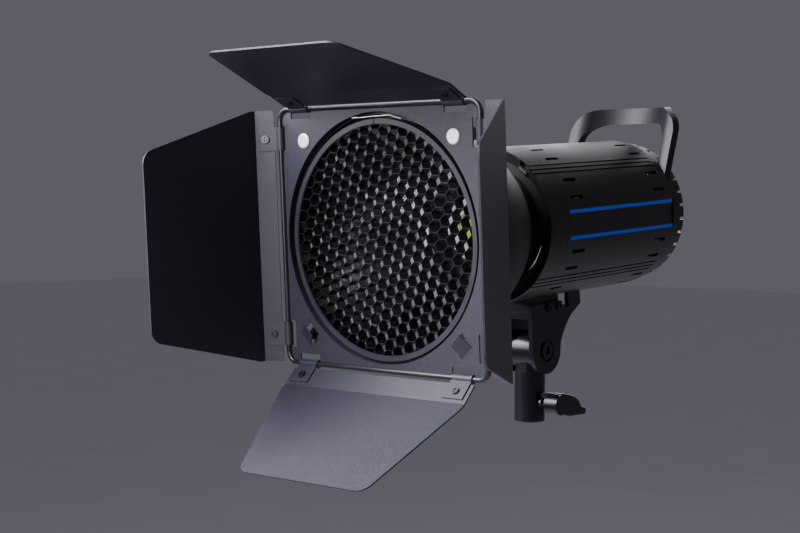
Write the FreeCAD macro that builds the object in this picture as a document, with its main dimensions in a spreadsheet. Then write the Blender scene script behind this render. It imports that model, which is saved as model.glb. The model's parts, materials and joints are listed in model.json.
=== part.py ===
import FreeCAD, Part
import math
import os

import Sketcher
from FreeCAD import Placement, Rotation, Vector

# LED studio spotlight: barn doors, honeycomb grid, dish reflector, finned body, yoke and receiver.
# Millimetres. Row frame: origin at the mouth of the receiver's spigot bore, +Z up, the light faces -Y.
# Lamp frame: origin at the centre of the barn door plate, +Y along the lamp's axis towards the rear.
# Leaf frame: origin on the hinge rod, X along the rod, Y outward from the plate, Z forward.

DIMENSIONS = {
    "Pose": {
        "nose_down": 3.4, "leaf_angle_left": 27, "leaf_angle_right": 0.5,
        "leaf_angle_top": 60.4, "leaf_angle_bottom": 46.5,
    },
    "Mount": {
        "pivot_height": 59.2, "pivot_back": 180.3, "pivot_drop": 104.6,
        "spigot_bore": 8.1, "spigot_depth": 36, "receiver_radius": 12.5, "receiver_top": 41.6,
        "knuckle_radius": 15.5, "knuckle_half": 12.5, "ear_inside": 13.2, "ear_thickness": 3.8,
        "ear_radius": 19.2, "pivot_pin": 4, "lock_screw_height": 15.7, "running_gap": 0.06,
    },
    "Barn_door": {
        "plate_half": 94.8, "plate_sheet": 1.2, "opening_radius": 92.4,
        "rod_half": 97, "rod_radius": 2.25, "rod_bend": 8,
        "notch_centre": 75, "notch_width": 20.6, "notch_edge": 89.5,
        "corner_hole": 72.6, "corner_hole_radius": 5.7, "tab_centre": 74, "tab_size": 11.5,
        "leaf_sheet": 1.2, "flange_start": 5, "leaf_corner": 11,
        "side_flange": 20.5, "side_panel_reach": 109, "side_bend": 61,
        "side_half": 96.6, "side_tip_half": 68.5,
        "cross_flange": 21.7, "cross_panel_reach": 91.8, "cross_bend": 11,
        "cross_half": 87.5, "cross_tip_half": 60.5,
        "clip_width": 18, "clip_sheet": 1, "clip_gap": 0.08, "clip_tail": 18.5, "clip_screw_at": 12,
        "collar_wall": 1.2, "collar_depth": 21,
    },
    "Grid": {
        "ring_outside": 88.8, "ring_inside": 85, "ring_front": 2.3, "ring_depth": 11.2, "ring_drop": 1.4,
        "cell_long": 11.4, "cell_short": 8.44, "cell_turn": 20.7, "cell_wall": 0.36, "core_depth": 9.8,
    },
    "Reflector": {
        "dish_mouth": 91.8, "dish_wall": 1.2, "dish_front": 5, "dish_step": 14.2, "dish_back": 109.2,
        "dish_neck": 57, "neck_outside": 46.2, "neck_wall": 2.2, "lug_reach": 50, "lug_front": 136.9,
    },
    "Body": {
        "body_radius": 62.4, "front_rim": 128.6, "seam": 150, "body_back": 307.5, "body_wall": 3.8,
        "bevel_inside": 53.5, "bevel_depth": 5, "mount_bore": 46.7, "groove_width": 1.4, "groove_depth": 1.0,
        "slot_length": 17, "slot_width": 3, "front_slots": 160, "rear_slots": 280.5,
        "trim_front": 154.5, "trim_back": 306, "trim_face": 61.1, "trim_bed": 59.9,
        "stripe_centre": 10.5, "stripe_width": 3,
        "cap_radius": 59.6, "cap_back": 330, "cap_wall": 2.5, "tooth_count": 32, "tooth_gap": 2.6,
        "fan_size": 80, "fan_hub": 17, "fan_sweep": 37,
    },
    "Handle": {
        "handle_half": 53.1, "handle_inner_half": 43.3, "handle_top": 90, "handle_under": 76.1,
        "handle_corner": 22.3, "handle_inner_corner": 16.4, "handle_bow": 23.4, "handle_depth": 10,
        "handle_foot": 294.3, "handle_lean": 22.3, "handle_bow_half": 49, "handle_bend": 15,
    },
}


class Size:
    """A length, angle or count with the sheet expression that it comes from."""

    def __init__(self, value, text):
        self.value = float(value)
        self.text = text

    def _join(self, other, sign, value, flip=False):
        other = as_size(other)
        first, second = (other, self) if flip else (self, other)
        return Size(value(first.value, second.value), f"({first.text} {sign} {second.text})")

    def __add__(self, other):
        return self._join(other, "+", lambda a, b: a + b)

    def __radd__(self, other):
        return self._join(other, "+", lambda a, b: a + b, flip=True)

    def __sub__(self, other):
        return self._join(other, "-", lambda a, b: a - b)

    def __rsub__(self, other):
        return self._join(other, "-", lambda a, b: a - b, flip=True)

    def __mul__(self, other):
        return self._join(other, "*", lambda a, b: a * b)

    def __rmul__(self, other):
        return self._join(other, "*", lambda a, b: a * b, flip=True)

    def __truediv__(self, other):
        return self._join(other, "/", lambda a, b: a / b)

    def __neg__(self):
        return Size(-self.value, f"(-{self.text})")

    def __float__(self):
        return self.value


def as_size(number):
    return number if isinstance(number, Size) else Size(number, f"({number:.6g})")


class Sheet:
    """The spreadsheet of driving dimensions, read as attributes."""

    def __init__(self, document, groups):
        sheet = document.addObject("Spreadsheet::Sheet", "Sizes")
        row = 1
        for group, entries in groups.items():
            sheet.set(f"A{row}", group)
            row += 1
            for alias, value in entries.items():
                sheet.set(f"A{row}", alias.replace("_", " "))
                sheet.set(f"B{row}", str(value))
                sheet.setAlias(f"B{row}", alias)
                setattr(self, alias, Size(value, f"Sizes.{alias}"))
                row += 1


doc = FreeCAD.newDocument("spotlight")
s = Sheet(doc, DIMENSIONS)
doc.recompute()

ALONG_X = Rotation(Vector(0, 0, 1), Vector(1, 0, 0))
ALONG_Y = Rotation(Vector(0, 0, 1), Vector(0, 1, 0))
ALONG_Z = Rotation()
SUBPARTS = {}


# ---------------------------------------------------------------- building blocks

def bind(thing, **properties):
    for name, size in properties.items():
        thing.setExpression(name.replace("__", "."), as_size(size).text)


def move_to(thing, base, rotation=ALONG_Z):
    """Puts a thing at a base point whose coordinates follow the sheet."""
    point = [as_size(coordinate) for coordinate in base]
    thing.Placement = Placement(Vector(*[c.value for c in point]), rotation)
    for letter, coordinate in zip("xyz", point):
        if "Sizes" in coordinate.text:
            thing.setExpression(f"Placement.Base.{letter}", coordinate.text)
    return thing


def cylinder(name, radius, length, base=(0, 0, 0), rotation=ALONG_Y):
    thing = doc.addObject("Part::Cylinder", name)
    bind(thing, Radius=radius, Height=length)
    return move_to(thing, base, rotation)


def cone(name, radius, end_radius, length, base=(0, 0, 0), rotation=ALONG_Y):
    thing = doc.addObject("Part::Cone", name)
    bind(thing, Radius1=radius, Radius2=end_radius, Height=length)
    return move_to(thing, base, rotation)


def box(name, low, sizes, rotation=ALONG_Z):
    thing = doc.addObject("Part::Box", name)
    bind(thing, Length=sizes[0], Width=sizes[1], Height=sizes[2])
    return move_to(thing, low, rotation)


def fuse(name, *things):
    thing = doc.addObject("Part::MultiFuse", name)
    thing.Shapes = list(things)
    return thing


def group(name, *things):
    thing = doc.addObject("Part::Compound", name)
    thing.Links = list(things)
    return thing


def cut(name, base, *tools):
    thing = doc.addObject("Part::Cut", name)
    thing.Base = base
    thing.Tool = tools[0] if len(tools) == 1 else group(name + "_tools", *tools)
    return thing


def common(name, *things):
    thing = doc.addObject("Part::MultiCommon", name)
    thing.Shapes = list(things)
    return thing


def shape(name, made):
    thing = doc.addObject("Part::Feature", name)
    thing.Shape = made
    return thing


def sketch_on(body, name, plane, offset=0):
    """A sketch parallel to one of the body's origin planes, offset along the matching positive axis."""
    sketch = body.newObject("Sketcher::SketchObject", name)
    face = next(item for item in body.Origin.OriginFeatures if item.Role == plane)
    sketch.AttachmentSupport = [(face, "")]
    sketch.MapMode = "FlatFace"
    along = -as_size(offset) if plane == "XZ_Plane" else as_size(offset)
    sketch.AttachmentOffset = Placement(Vector(0, 0, along.value), Rotation())
    if "Sizes" in along.text:
        sketch.setExpression("AttachmentOffset.Base.z", along.text)
    return sketch


def pin_point(sketch, edge, end, point):
    """Holds one end of a sketch edge at a point whose two distances follow the sheet."""
    for kind, axis, coordinate in zip(("DistanceX", "DistanceY"), (-2, -1), point):
        size = as_size(coordinate)
        if abs(size.value) < 1e-9:
            sketch.addConstraint(Sketcher.Constraint("PointOnObject", edge, end, axis))
            continue
        index = sketch.addConstraint(Sketcher.Constraint(kind, -1, 1, edge, end, size.value))
        sketch.setExpression(f"Constraints[{index}]", size.text)


def outline(sketch, corners):
    """Closes an outline through (across, up) corners.

    A corner of (across, up, radius) starts an arc of that radius to the next corner. The arc turns
    left as the outline is followed when the radius is positive and right when it is negative.
    """
    points = [Vector(float(c[0]), float(c[1]), 0) for c in corners]
    first = sketch.GeometryCount
    starts = []
    for i, corner in enumerate(corners):
        here, there = points[i], points[(i + 1) % len(points)]
        if len(corner) == 2:
            sketch.addGeometry(Part.LineSegment(here, there), False)
            starts.append((1, 2))
            continue
        radius = abs(float(corner[2]))
        left = float(corner[2]) > 0
        chord = there - here
        rise = math.sqrt(max(radius ** 2 - (chord.Length / 2) ** 2, 0))
        side = Vector(-chord.y, chord.x, 0).normalize() * (rise if left else -rise)
        centre = (here + there) * 0.5 + side
        low, high = (here, there) if left else (there, here)
        angles = [math.atan2(p.y - centre.y, p.x - centre.x) for p in (low, high)]
        circle = Part.Circle(centre, Vector(0, 0, 1), radius)
        sketch.addGeometry(Part.ArcOfCircle(circle, angles[0], angles[1]), False)
        starts.append((1, 2) if left else (2, 1))
        size = as_size(corner[2]) if left else -as_size(corner[2])
        index = sketch.addConstraint(Sketcher.Constraint("Radius", first + i, radius))
        sketch.setExpression(f"Constraints[{index}]", size.text)
    for i, corner in enumerate(corners):
        edge, following = first + i, first + (i + 1) % len(corners)
        end, start = starts[i][1], starts[(i + 1) % len(corners)][0]
        sketch.addConstraint(Sketcher.Constraint("Coincident", edge, end, following, start))
        pin_point(sketch, edge, starts[i][0], corner[:2])


def ring_outline(sketch, across, up, radius):
    """A round loop in a sketch."""
    edge = sketch.GeometryCount
    centre = Vector(float(across), float(up), 0)
    sketch.addGeometry(Part.Circle(centre, Vector(0, 0, 1), float(radius)), False)
    index = sketch.addConstraint(Sketcher.Constraint("Radius", edge, float(radius)))
    sketch.setExpression(f"Constraints[{index}]", as_size(radius).text)
    pin_point(sketch, edge, 3, (across, up))


def slab(name, plane, start, thickness, corners, holes=(), loops=()):
    """A body of even thickness from `start` towards the plane's positive axis.

    `holes` are (across, up, radius) rounds and `loops` are further outlines cut out of it.
    """
    body = doc.addObject("PartDesign::Body", name)
    sketch = sketch_on(body, name + "_outline", plane, start)
    outline(sketch, corners)
    for loop in loops:
        outline(sketch, loop)
    for hole in holes:
        ring_outline(sketch, *hole)
    pad = body.newObject("PartDesign::Pad", name + "_pad")
    pad.Profile = sketch
    bind(pad, Length=thickness)
    pad.Reversed = plane == "XZ_Plane"
    return body


def spun(name, corners, plane="XY_Plane"):
    """A body turned about the sketch's upright axis from (radius, along) corners."""
    body = doc.addObject("PartDesign::Body", name)
    sketch = sketch_on(body, name + "_section", plane)
    outline(sketch, corners)
    turned = body.newObject("PartDesign::Revolution", name + "_turn")
    turned.Profile = sketch
    turned.ReferenceAxis = (sketch, ["V_Axis"])
    turned.Angle = 360
    return body


def soften(body, kind, size, picks):
    """Rounds (Fillet) or bevels (Chamfer) the edges of the body that picks(edge) accepts."""
    doc.recompute()
    tip = body.Tip
    chosen = [f"Edge{i}" for i, edge in enumerate(tip.Shape.Edges, 1) if picks(edge)]
    feature = body.newObject("PartDesign::" + kind, f"{body.Name}_{kind.lower()}_{len(body.Group)}")
    feature.Base = (tip, chosen)
    bind(feature, **{"Radius" if kind == "Fillet" else "Size": size})
    return body


def runs_along(edge, direction):
    """True for a straight edge parallel to a direction."""
    if not isinstance(edge.Curve, Part.Line):
        return False
    return abs(edge.tangentAt(edge.FirstParameter).dot(Vector(*direction))) > 0.999


def node(name, thing, frame):
    """Names a finished sub-part and puts it in its place."""
    thing.Label = name
    SUBPARTS[name] = (thing, frame)


def polar(radius, degrees, along=0):
    """A point of the lamp frame at an angle from +X towards +Z."""
    turn = math.radians(degrees)
    return Vector(radius * math.cos(turn), along, radius * math.sin(turn))


def radial(degrees):
    """The rotation that turns Z outward from the lamp's axis at an angle from +X towards +Z."""
    return Rotation(Vector(0, 0, 1), polar(1, degrees))


def pan_screw(name, base, rotation, head_radius, head_height, shank_radius, length):
    """A screw with its head's seat at the base point and its shank back along the rotation's Z."""
    head = cylinder(name + "_head", head_radius, head_height, base, rotation)
    shank_base = Vector(*[float(c) for c in base]) - rotation.multVec(Vector(0, 0, float(length)))
    shank = cylinder(name + "_shank", shank_radius, as_size(length) + 0.2, shank_base, rotation)
    slot_base = Vector(*[float(c) for c in base])
    slot_base += rotation.multVec(Vector(0, 0, float(head_height) * 0.5))
    arms = []
    for turn in (0, 90):
        reach, half_width = float(head_radius) * 0.62, float(head_radius) * 0.13
        low = Vector(-reach, -half_width, 0)
        spin = rotation.multiply(Rotation(Vector(0, 0, 1), turn))
        arms.append(box(f"{name}_slot_{turn}", slot_base + spin.multVec(low),
                        (2 * reach, 2 * half_width, head_height), spin))
    return cut(name, fuse(name + "_solid", head, shank), *arms)


# ---------------------------------------------------------------- frames

LAMP = Placement(Vector(0, 0, s.pivot_height.value), Rotation(Vector(1, 0, 0), s.nose_down.value)).multiply(
    Placement(Vector(0, -s.pivot_back.value, s.pivot_drop.value), Rotation()))
ROW = Placement()


def leaf_frame(side_angle, opening):
    """Lamp-to-leaf placement: side_angle turns the plate's right side to the leaf's side."""
    outward = polar(1, side_angle)
    forward = Vector(0, -1, 0)
    along = outward.cross(forward)
    turn = Rotation(along, outward, forward, "XYZ")
    swing = Placement(outward * s.rod_half.value, turn)
    return LAMP.multiply(swing).multiply(Placement(Vector(), Rotation(Vector(1, 0, 0), opening.value)))


LEAVES = {
    "right": (leaf_frame(0, s.leaf_angle_right), "side"),
    "top": (leaf_frame(90, s.leaf_angle_top), "cross"),
    "left": (leaf_frame(180, s.leaf_angle_left), "side"),
    "bottom": (leaf_frame(270, s.leaf_angle_bottom), "cross"),
}


# ---------------------------------------------------------------- barn door frame

TAB_LIFTS = (28, 15)


def barn_door_plate():
    half, edge = s.plate_half, s.notch_edge
    near, far = s.notch_centre - s.notch_width / 2, s.notch_centre + s.notch_width / 2
    side = [(-half, half), (-far, half), (-far, edge), (-near, edge), (-near, half),
            (near, half), (near, edge), (far, edge), (far, half)]
    corners = []
    for turn in range(4):
        for across, up in side:
            for _ in range(turn):
                across, up = up, -across
            corners.append((across, up))
    size = s.tab_size + 1.6
    reach = size * math.sqrt(0.5)
    windows = []
    for centre in (-s.tab_centre, s.tab_centre):
        windows.append([(centre - reach, -s.tab_centre), (centre, -s.tab_centre - reach),
                        (centre + reach, -s.tab_centre), (centre, -s.tab_centre + reach)])
    rounds = [(0, 0, s.opening_radius)]
    rounds += [(x, s.corner_hole, s.corner_hole_radius) for x in (-s.corner_hole, s.corner_hole)]
    plate = slab("plate", "XZ_Plane", 0, s.plate_sheet, corners, rounds, windows)
    pieces = [plate]
    for name, side, lift in (("left", -1, TAB_LIFTS[0]), ("right", 1, TAB_LIFTS[1])):
        inward = Rotation(Vector(0, 1, 0), -45 * side)
        hinge = Vector(side * s.tab_centre.value, 0, -s.tab_centre.value)
        hinge = hinge - inward.multVec(Vector(0, 0, size.value / 2))
        flap = inward.multiply(Rotation(Vector(1, 0, 0), lift))
        pieces.append(box(f"tab_{name}", hinge + flap.multVec(Vector(-s.tab_size.value / 2, 0, -0.8)),
                          (s.tab_size, 1, s.tab_size + 1.2), flap))
    node("barn_door_plate", fuse("plate_with_tabs", *pieces), LAMP)


def hinge_rod():
    """A square loop of round wire round the plate's edge."""
    half, bend, radius = s.rod_half, s.rod_bend, s.rod_radius
    pieces = []
    for i, turn in enumerate((0, 90, 180, 270)):
        spin = Rotation(Vector(0, 1, 0), turn)
        straight = half - bend
        start = spin.multVec(Vector(-straight.value, 0, half.value))
        pieces.append(cylinder(f"rod_side_{i}", radius, straight * 2, start, spin.multiply(ALONG_X)))
        corner = doc.addObject("Part::Torus", f"rod_corner_{i}")
        bind(corner, Radius1=bend, Radius2=radius)
        corner.Angle3 = 90
        centre = spin.multVec(Vector(straight.value, 0, straight.value))
        lay = Rotation(Vector(1, 0, 0), 90)
        corner.Placement = Placement(centre, spin.multiply(lay))
        pieces.append(corner)
    node("hinge_rod", fuse("rod_loop", *pieces), LAMP)


def leaf(side):
    """A folded sheet: a flange beside the rod, a bend, and a tapered panel with round corners."""
    frame, family = LEAVES[side]
    flange = getattr(s, family + "_flange")
    reach = getattr(s, family + "_panel_reach")
    bend = getattr(s, family + "_bend")
    half = getattr(s, family + "_half")
    tip = getattr(s, family + "_tip_half")
    sheet, straight = s.leaf_sheet, 4.5
    holes = [(x, s.clip_screw_at, 1.6) for x in (-s.notch_centre, s.notch_centre)]
    base = slab(f"flange_{side}", "XY_Plane", -sheet / 2, sheet,
                [(-half, s.flange_start), (half, s.flange_start), (half, flange), (-half, flange)], holes)
    panel = slab(f"panel_{side}", "XY_Plane", -sheet / 2, sheet,
                 [(-half, 0), (half, 0), (half, straight), (tip, reach), (-tip, reach), (-half, straight)])
    free = [(tip.value, reach.value), (-tip.value, reach.value)]

    def at_free_corner(edge):
        middle = edge.CenterOfMass
        near = [math.hypot(middle.x - x, middle.y - y) < 0.01 for x, y in free]
        return runs_along(edge, (0, 0, 1)) and any(near)

    soften(panel, "Fillet", s.leaf_corner, at_free_corner)
    panel.Placement = Placement(Vector(0, flange.value, 0), Rotation(Vector(1, 0, 0), bend.value))
    knee = cylinder(f"knee_{side}", sheet / 2, half * 2, (-half, flange, 0), ALONG_X)
    node(f"leaf_{side}", fuse(f"leaf_{side}_sheet", base, panel, knee), frame)


def leaf_clips(side):
    """Two strips curled round the rod and screwed flat to the flange's inner face."""
    frame, _ = LEAVES[side]
    bore = s.rod_radius + s.clip_gap
    face = s.leaf_sheet / 2 + 0.02
    clips, fasteners = [], []
    for name, centre in (("a", -s.notch_centre), ("b", s.notch_centre)):
        low = centre - s.clip_width / 2
        tag = f"{side}_{name}"
        curl = cylinder(f"curl_{tag}", bore + s.clip_sheet, s.clip_width, (low, 0, 0), ALONG_X)
        tail = box(f"tail_{tag}", (low, 0, face), (s.clip_width, s.clip_tail, s.clip_sheet))
        hole = cylinder(f"clip_bore_{tag}", bore, s.clip_width + 2, (low - 1, 0, 0), ALONG_X)
        drill = cylinder(f"clip_drill_{tag}", 1.6, 6, (centre, s.clip_screw_at, 0), ALONG_Z)
        clips.append(cut(f"clip_{tag}", fuse(f"clip_solid_{tag}", curl, tail), hole, drill))
        seat = (centre, s.clip_screw_at, face + s.clip_sheet)
        screw = pan_screw(f"clip_screw_{tag}", seat, ALONG_Z, 3, 1.3, 1.48, 4.2)
        nut = cylinder(f"nut_{tag}", 2.9, 1.6, (centre, s.clip_screw_at, -s.leaf_sheet / 2 - 1.6), ALONG_Z)
        thread = cylinder(f"nut_bore_{tag}", 1.5, 3, (centre, s.clip_screw_at, -s.leaf_sheet / 2 - 2),
                          ALONG_Z)
        fasteners += [screw, cut(f"clip_nut_{tag}", nut, thread)]
    node(f"hinge_clips_{side}", group(f"clips_{side}", *clips), frame)
    node(f"clip_screws_{side}", group(f"fasteners_{side}", *fasteners), frame)


def gel_magnets():
    rounds = []
    for name, x in (("left", -s.corner_hole), ("right", s.corner_hole)):
        rim = s.corner_hole_radius - 0.05
        body = cylinder(f"magnet_{name}_body", rim, s.plate_sheet + 0.6, (x, -0.6, s.corner_hole))
        dome = cone(f"magnet_{name}_dome", rim, rim - 0.9, 0.6, (x, -0.6, s.corner_hole),
                    Rotation(Vector(0, 0, 1), Vector(0, -1, 0)))
        rounds.append(fuse(f"magnet_{name}", body, dome))
    node("gel_magnets", group("magnets", *rounds), LAMP)


CLAMP_ANGLES = {"upper": 45, "lower": 225}
CLAMP_AT = 12


def clamp_collar():
    """The sleeve behind the plate that slides over the dish, with a threaded boss for each clamp screw."""
    outside = s.opening_radius + s.collar_wall
    sleeve = cylinder("sleeve_outer", outside, s.collar_depth, (0, s.plate_sheet, 0))
    bosses, drills = [], []
    for name, angle in CLAMP_ANGLES.items():
        base = polar(s.opening_radius.value + 0.4, angle, CLAMP_AT)
        bosses.append(cylinder(f"boss_{name}", 5, 6, base, radial(angle)))
        drills.append(cylinder(f"boss_drill_{name}", 2 + s.running_gap, 14,
                               polar(s.opening_radius.value - 4, angle, CLAMP_AT), radial(angle)))
    inside = cylinder("sleeve_inner", s.opening_radius, s.collar_depth + 2, (0, s.plate_sheet - 1, 0))
    node("clamp_collar", cut("collar", fuse("collar_solid", sleeve, *bosses), inside, *drills), LAMP)


def clamp_screw(name):
    angle = CLAMP_ANGLES[name]
    shank = cylinder(f"clamp_shank_{name}", 2, 10, polar(s.opening_radius.value - 0.2, angle, CLAMP_AT),
                     radial(angle))
    head = cylinder(f"clamp_head_{name}", 7.5, 10, polar(s.opening_radius.value + 7.2, angle, CLAMP_AT),
                    radial(angle))
    flutes = []
    for i in range(16):
        turn = Rotation(Vector(0, 0, 1), i * 22.5)
        spin = radial(angle).multiply(turn)
        base = polar(s.opening_radius.value + 6, angle, CLAMP_AT) + spin.multVec(Vector(7.9, 0, 0))
        flutes.append(cylinder(f"flute_{name}_{i}", 0.8, 13, base, spin))
    node(f"clamp_screw_{name}", fuse(f"clamp_{name}", shank, cut(f"clamp_grip_{name}", head, *flutes)), LAMP)


# ---------------------------------------------------------------- honeycomb grid

def grid_ring():
    drop, front, depth = -s.ring_drop, s.ring_front, s.ring_depth
    outer = cylinder("rim_outer", s.ring_outside, depth, (0, front, drop))
    inner = cylinder("rim_inner", s.ring_inside, depth + 2, (0, front - 1, drop))
    split = box("rim_split", (-4.1, front - 1, s.ring_inside - 4), (0.9, depth + 2, 12))
    node("grid_ring", cut("rim", outer, inner, split), LAMP)


def honeycomb_core():
    """Hexagonal cells of a slightly over-expanded honeycomb, cut out of one disc."""
    radius = s.ring_inside.value - 0.05
    turn = Rotation(Vector(0, 1, 0), -s.cell_turn.value)
    long_step = turn.multVec(Vector(s.cell_long.value, 0, 0))
    skew_step = turn.multVec(Vector(s.cell_long.value / 2, 0, -s.cell_short.value * math.sqrt(0.75)))
    half = s.cell_long.value / 2 - s.cell_wall.value / 2
    rise = s.cell_short.value * math.sqrt(0.75)
    tall, short = rise * 2 / 3 - s.cell_wall.value * 0.6, rise / 3 - s.cell_wall.value * 0.3
    cell = [Vector(0, 0, tall), Vector(half, 0, short), Vector(half, 0, -short),
            Vector(0, 0, -tall), Vector(-half, 0, -short), Vector(-half, 0, short)]
    cell = [turn.multVec(point) for point in cell]
    rim = Part.Face(Part.Wire(Part.makeCircle(radius, Vector(), Vector(0, -1, 0))))
    open_area = Part.Face(Part.Wire(Part.makeCircle(radius - s.cell_wall.value, Vector(), Vector(0, -1, 0))))
    wires = [rim.OuterWire]
    reach = half + tall
    for i in range(-24, 25):
        for j in range(-24, 25):
            centre = long_step * i + skew_step * j
            if centre.Length > radius + reach:
                continue
            points = [centre + point for point in cell]
            hole = Part.makePolygon(points + points[:1])
            if centre.Length > radius - reach:
                clipped = Part.Face(hole).common(open_area).Faces
                if not clipped or clipped[0].Area < 4:
                    continue
                hole = clipped[0].OuterWire
            wires.append(hole)
    face = Part.Face(wires, "Part::FaceMakerBullseye")
    core = shape("core", face.extrude(Vector(0, s.core_depth.value, 0)))
    move_to(core, (0, s.ring_front + 0.9, -s.ring_drop))
    node("honeycomb_core", group("core_in_place", core), LAMP)


def wire(name, points, radius, bend):
    """A round wire through points, with its corners rounded."""
    path, start = [], points[0]
    for before, corner, after in zip(points, points[1:], points[2:]):
        into, out = (corner - before).normalize(), (after - corner).normalize()
        turn = math.acos(max(-1, min(1, into.dot(out))))
        trim = bend * math.tan(turn / 2)
        first, last = corner - into * trim, corner + out * trim
        middle = corner + (out - into).normalize() * bend * (1 / math.cos(turn / 2) - 1)
        path += [Part.LineSegment(start, first).toShape(), Part.Arc(first, middle, last).toShape()]
        start = last
    path.append(Part.LineSegment(start, points[-1]).toShape())
    spine = Part.Wire(path)
    section = Part.Wire(Part.makeCircle(radius, points[0], points[1] - points[0]))
    return shape(name, spine.makePipeShell([section], True, False))


def grid_spring():
    """The bent wire that sits in the gap above the grid and keeps it in the dish."""
    along = s.ring_front.value - 0.6
    points = [Vector(x, along, z) for x, z in ((-24, 88.6), (-14.5, 88.4), (-5, 89), (13, 89.4), (24, 86.4))]
    node("grid_spring", group("spring_in_place", wire("spring", points, 0.55, 3)), LAMP)


# ---------------------------------------------------------------- reflector

def reflector_dish():
    wall, step = s.dish_wall, s.dish_step
    mouth, neck, front, back = s.dish_mouth, s.dish_neck, s.dish_front, s.dish_back
    ledge = mouth - wall - 2.6
    section = [(mouth - wall, front), (mouth, front), (mouth, step + wall), (ledge + wall, step + wall, 170),
               (neck, back), (s.neck_outside - s.neck_wall, back),
               (s.neck_outside - s.neck_wall, back - wall), (neck - wall, back - wall, -168.8),
               (ledge, step), (mouth - wall, step)]
    node("reflector_dish", spun("dish", section), LAMP)


RIVET_ANGLES = (30, 150, 270)
LUG_ANGLES = (90, 210, 330)


def bayonet_ring():
    """The neck behind the dish, with three lugs that turn behind the lip of the front ring."""
    flange = [(s.neck_outside - s.neck_wall, s.dish_back + 0.02), (s.neck_outside + 6, s.dish_back + 0.02),
              (s.neck_outside + 6, s.dish_back + 2), (s.neck_outside, s.dish_back + 2),
              (s.neck_outside, s.lug_front + 2.4), (s.neck_outside - s.neck_wall, s.lug_front + 2.4)]
    neck = spun("neck", flange)
    lugs = []
    for angle in LUG_ANGLES:
        sector = Part.makeCylinder(s.lug_reach.value, 2.4, Vector(), Vector(0, 1, 0), 24)
        bore = Part.makeCylinder(s.neck_outside.value - 1, 4, Vector(0, -1, 0), Vector(0, 1, 0))
        lug = shape(f"lug_{angle}", sector.cut(bore))
        lug.Placement = Placement(Vector(0, s.lug_front.value, 0), Rotation(Vector(0, 1, 0), -angle))
        lugs.append(lug)
    drills = []
    for angle in RIVET_ANGLES:
        drills.append(cylinder(f"neck_drill_{angle}", 1.6, 8, polar(s.neck_outside.value + 3, angle, 105)))
    node("bayonet_ring", cut("neck_drilled", fuse("neck_with_lugs", neck, *lugs), *drills), LAMP)
    rivets = []
    for angle in RIVET_ANGLES:
        seat = polar(s.neck_outside.value + 3, angle, s.dish_back.value + 2.02)
        rivets.append(cylinder(f"rivet_{angle}", 2.7, 1, seat))
    node("reflector_rivets", group("rivets", *rivets), LAMP)


# ---------------------------------------------------------------- front mount and light engine

NOTCH_ANGLE = 52


def front_ring():
    """The bevelled ring round the bayonet, grooved inside for the lugs."""
    radius, bore = s.body_radius, s.mount_bore
    bevel_end = s.front_rim + s.bevel_depth
    groove, groove_front, back = s.lug_reach + 0.5, s.lug_front - 0.4, s.lug_front + 4.3
    section = [(radius - 0.6, s.front_rim), (radius, s.front_rim + 0.7), (radius, s.seam - 0.15),
               (radius - s.body_wall, s.seam - 0.15), (radius - s.body_wall, back), (bore, back),
               (bore, s.lug_front + 2.9), (groove, s.lug_front + 2.9), (groove, groove_front),
               (bore, groove_front), (bore, bevel_end), (s.bevel_inside, bevel_end)]
    body = spun("front_ring_turned", section)
    entries = []
    for angle in LUG_ANGLES:
        sector = Part.makeCylinder(groove.value, 8, Vector(), Vector(0, 1, 0), 27)
        entry = shape(f"entry_{angle}", sector)
        entry.Placement = Placement(Vector(0, bevel_end.value - 1, 0), Rotation(Vector(0, 1, 0), -angle - 43))
        entries.append(entry)
    gap = box("lock_gap", (-4.6, 0, 0), (9.2, 6.6, 9.2))
    gap.Placement = Placement(polar(s.bevel_inside.value - 0.5, NOTCH_ANGLE, s.front_rim.value - 0.5),
                              Rotation(Vector(0, 1, 0), 90 - NOTCH_ANGLE)).multiply(
        Placement(Vector(-4.6, 0, 0), Rotation()))
    node("front_ring", cut("front_ring_cut", body, *entries, gap, *body_grooves("ring")), LAMP)


def lock_slider():
    """The spring-loaded catch in the notch of the front ring."""
    turn = Rotation(Vector(0, 1, 0), 90 - NOTCH_ANGLE)
    base = polar(s.bevel_inside.value - 0.3, NOTCH_ANGLE, s.front_rim.value + 2.4)
    block = box("slider_block", base, (8.6, 3.5, 4.2))
    block.Placement = Placement(base, turn).multiply(Placement(Vector(-4.3, 0, 0), Rotation()))
    grip = cylinder("slider_grip", 1, 8.6, base)
    grip.Placement = Placement(base, turn).multiply(Placement(Vector(-4.3, 0.2, 2.2), ALONG_X))
    node("lock_slider", fuse("slider", block, grip), LAMP)


def body_grooves(tag):
    """Three long grooves in each quarter of the body, from the front rim to near the back."""
    length = s.body_back.value - 7 - s.front_rim.value + 2
    made = []
    for quarter in range(4):
        for offset in (-4, 0, 4):
            angle = 45 + 90 * quarter + offset
            block = Part.makeBox(s.groove_width.value, length, 4,
                                 Vector(-s.groove_width.value / 2, s.front_rim.value - 2,
                                        s.body_radius.value - s.groove_depth.value))
            block.rotate(Vector(), Vector(0, 1, 0), 90 - angle)
            made.append(block)
    return [shape(f"grooves_{tag}", Part.makeCompound(made))]


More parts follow.
